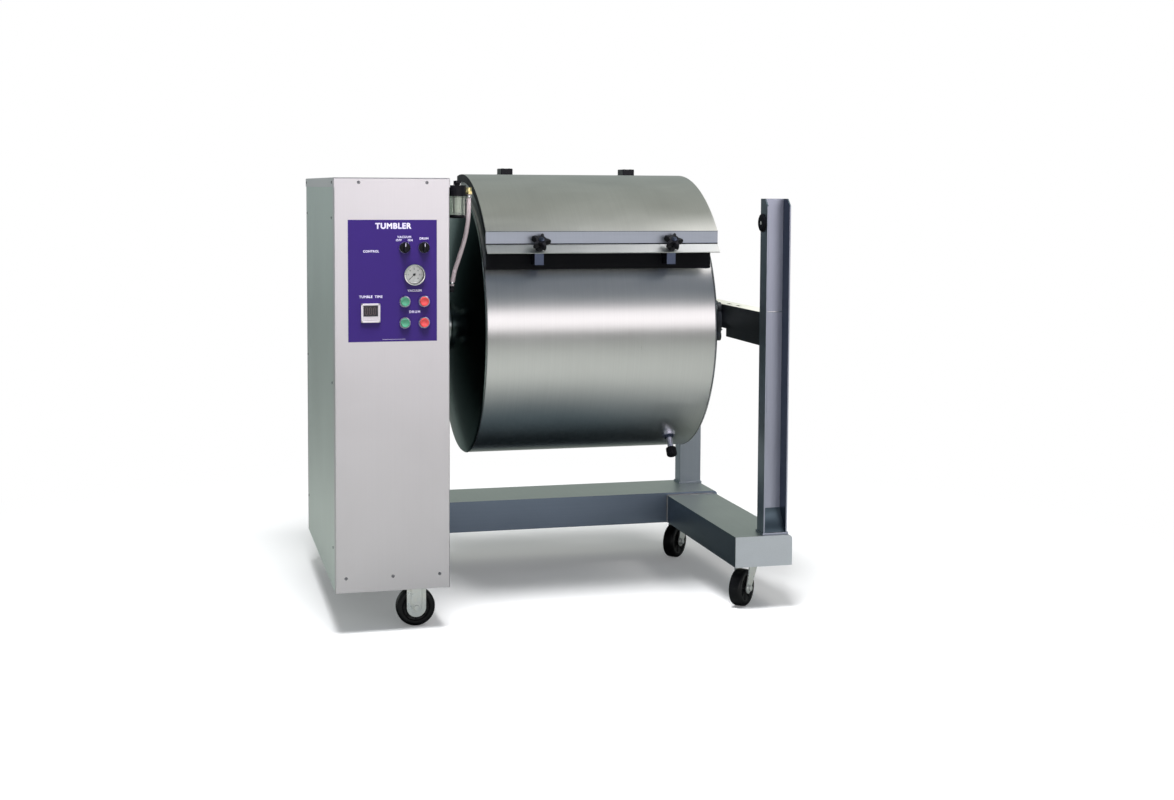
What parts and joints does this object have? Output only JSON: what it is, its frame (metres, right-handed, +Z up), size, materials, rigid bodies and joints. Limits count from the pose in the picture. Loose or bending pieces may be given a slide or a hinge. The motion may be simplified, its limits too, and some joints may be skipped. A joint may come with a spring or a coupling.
{
  "type": "vacuum meat tumbler",
  "caption": "Wheeled vacuum meat tumbler: a stainless drum with a hinged curved lid turns between a control cabinet and a post frame.",
  "frame": {"origin": "centre of the machine's outline on the floor, under the casters", "axes": "+X along the drum from the control cabinet to the posts, +Y to the rear, +Z up"},
  "size_m": [1.2329, 0.8304, 1.1975],
  "materials": {
    "stainless_panel": "satin brushed, vertical grain",
    "stainless_side": "satin brushed",
    "stainless_drum": "satin, brushed round the drum",
    "stainless_frame": "satin, welded and cleaned",
    "violet_print": "smooth printed overlay",
    "black_plastic": "moulded",
    "caster_black": "moulded polyurethane",
    "bumper_rubber": "matte",
    "zinc": "bright zinc plate",
    "cast_grey": "painted casting",
    "switch_bezel": "satin metallic",
    "green_lens": "translucent",
    "red_lens": "translucent",
    "dial_white": "printed dial, black case",
    "needle_black": "painted",
    "lens_glass": "clear",
    "timer_plastic": "light grey",
    "switchgear_grey": "moulded",
    "motor_paint": "enamel",
    "chain_steel": "oiled steel",
    "shaft_steel": "turned",
    "brass": "turned",
    "clear_bowl": "clear polycarbonate",
    "hose_clear": "clear vinyl",
    "gasket_white": "food-grade silicone"
  },
  "bodies": {
    "root": {"cabinet_frame": "stainless_frame", "cabinet_floor": "stainless_frame", "front_panel": "stainless_panel", "rear_panel": "stainless_panel", "left_side_panel": "stainless_side", "right_side_panel": "stainless_side", "top_cover": "stainless_panel", "cabinet_screws": "zinc", "control_plate": "violet_print", "control_bezels": "switch_bezel", "switchgear": "switchgear_grey", "gauge_case": "dial_white", "gauge_lens": "lens_glass", "timer": "timer_plastic", "gearbox": "cast_grey", "drive_motor": "motor_paint", "drive_chain": "chain_steel", "vacuum_pump": "motor_paint", "filter_bowl": "clear_bowl", "filter_head": "black_plastic", "hose_fittings": "brass", "vacuum_hose": "hose_clear", "cable_gland": "black_plastic", "base_beam": "stainless_frame", "foot_beam": "stainless_frame", "posts": "stainless_frame", "cross_beam": "stainless_frame", "post_bumper": "bumper_rubber", "shaft_bearings": "cast_grey", "caster_mounts": "zinc"},
    "drum": {"drum_shell": "stainless_drum", "opening_neck": "stainless_drum", "drum_heads": "stainless_drum", "drum_flights": "stainless_drum", "drum_shafts": "shaft_steel", "driven_sprocket": "chain_steel", "drum_brackets": "stainless_frame", "hinge_pins": "shaft_steel", "drain_nipple": "shaft_steel"},
    "lid": {"lid_cover": "stainless_drum", "lid_gasket": "gasket_white", "lid_hinge_blocks": "black_plastic"},
    "knob_left": {"star_knob_left": "black_plastic"},
    "knob_right": {"star_knob_right": "black_plastic"},
    "drain_cap": {"drain_cap": "black_plastic"},
    "pinion": {"drive_sprocket": "chain_steel"},
    "needle": {"gauge_needle": "needle_black"},
    "selector_left": {"selector_knob_left": "black_plastic"},
    "selector_right": {"selector_knob_right": "black_plastic"},
    "green_upper": {"green_button_upper": "green_lens"},
    "green_lower": {"green_button_lower": "green_lens"},
    "red_upper": {"red_button_upper": "red_lens"},
    "red_lower": {"red_button_lower": "red_lens"},
    "valve": {"valve_handle": "black_plastic"},
    "swivel_front": {"swivel_fork_front": "zinc"},
    "swivel_rear": {"swivel_fork_rear": "zinc"},
    "wheel_1": {"wheel_cabinet_front": "caster_black"},
    "wheel_2": {"wheel_cabinet_rear": "caster_black"},
    "wheel_3": {"wheel_foot_front": "caster_black"},
    "wheel_4": {"wheel_foot_rear": "caster_black"}
  },
  "joints": [
    {"name": "drum_spin", "type": "hinge", "parent": "root", "child": "drum", "pos_m": [0, 0.009, 0.758], "axis": [1, 0, 0], "continuous": true},
    {"name": "lid_hinge", "type": "hinge", "parent": "drum", "child": "lid", "pos_m": [0.1035, 0.104, 1.17], "axis": [-1, 0, 0], "range_deg": [0, 100]},
    {"name": "star_knob_left_spin", "type": "hinge", "parent": "lid", "child": "knob_left", "pos_m": [-0.077, -0.3545, 0.9849], "axis": [0, -0.7071, 0.7071], "continuous": true},
    {"name": "star_knob_right_spin", "type": "hinge", "parent": "lid", "child": "knob_right", "pos_m": [0.284, -0.3545, 0.9849], "axis": [0, -0.7071, 0.7071], "continuous": true},
    {"name": "drain_cap_turn", "type": "hinge", "parent": "drum", "child": "drain_cap", "pos_m": [0.334, 0.009, 0.758], "axis": [0, -0.5446, -0.8387], "continuous": true},
    {"name": "drive_sprocket_spin", "type": "hinge", "parent": "root", "child": "pinion", "pos_m": [-0.42, 0.009, 0.44], "axis": [1, 0, 0], "continuous": true},
    {"name": "gauge_needle_sweep", "type": "hinge", "parent": "root", "child": "needle", "pos_m": [-0.411, -0.393, 0.922], "axis": [0, 1, 0], "range_deg": [0, 270], "stiffness_Nm_per_rad": 0.0005},
    {"name": "selector_left_turn", "type": "hinge", "parent": "root", "child": "selector_left", "pos_m": [-0.4355, -0.4, 0.991], "axis": [0, 1, 0], "range_deg": [0, 90]},
    {"name": "selector_right_turn", "type": "hinge", "parent": "root", "child": "selector_right", "pos_m": [-0.3865, -0.4, 0.991], "axis": [0, 1, 0], "range_deg": [0, 90]},
    {"name": "green_button_upper_press", "type": "slide", "parent": "root", "child": "green_upper", "axis": [0, 1, 0], "range_m": [0, 0.003], "stiffness_N_per_m": 1200},
    {"name": "green_button_lower_press", "type": "slide", "parent": "root", "child": "green_lower", "axis": [0, 1, 0], "range_m": [0, 0.003], "stiffness_N_per_m": 1200},
    {"name": "red_button_upper_press", "type": "slide", "parent": "root", "child": "red_upper", "axis": [0, 1, 0], "range_m": [0, 0.003], "stiffness_N_per_m": 1200},
    {"name": "red_button_lower_press", "type": "slide", "parent": "root", "child": "red_lower", "axis": [0, 1, 0], "range_m": [0, 0.003], "stiffness_N_per_m": 1200},
    {"name": "valve_handle_turn", "type": "hinge", "parent": "root", "child": "valve", "pos_m": [-0.291, -0.335, 1.155], "axis": [0, 0, 1], "range_deg": [0, 90]},
    {"name": "swivel_front_turn", "type": "hinge", "parent": "root", "child": "swivel_front", "pos_m": [0.525, -0.313, 0.1], "axis": [0, 0, 1], "continuous": true},
    {"name": "swivel_rear_turn", "type": "hinge", "parent": "root", "child": "swivel_rear", "pos_m": [0.525, 0.288, 0.1], "axis": [0, 0, 1], "continuous": true},
    {"name": "wheel_cabinet_front_roll", "type": "hinge", "parent": "root", "child": "wheel_1", "pos_m": [-0.3995, -0.32, 0.0508], "axis": [0, 1, 0], "continuous": true},
    {"name": "wheel_cabinet_rear_roll", "type": "hinge", "parent": "root", "child": "wheel_2", "pos_m": [-0.3995, 0.337, 0.0508], "axis": [0, 1, 0], "continuous": true},
    {"name": "wheel_foot_front_roll", "type": "hinge", "parent": "swivel_front", "child": "wheel_3", "pos_m": [0.49954, -0.33846, 0.0508], "axis": [-0.7071, 0.7071, 0], "continuous": true},
    {"name": "wheel_foot_rear_roll", "type": "hinge", "parent": "swivel_rear", "child": "wheel_4", "pos_m": [0.49954, 0.26254, 0.0508], "axis": [-0.7071, 0.7071, 0], "continuous": true}
  ],
  "couplings": [
    {"joint": "drive_sprocket_spin", "follows": "drum_spin", "ratio": 3}
  ]
}
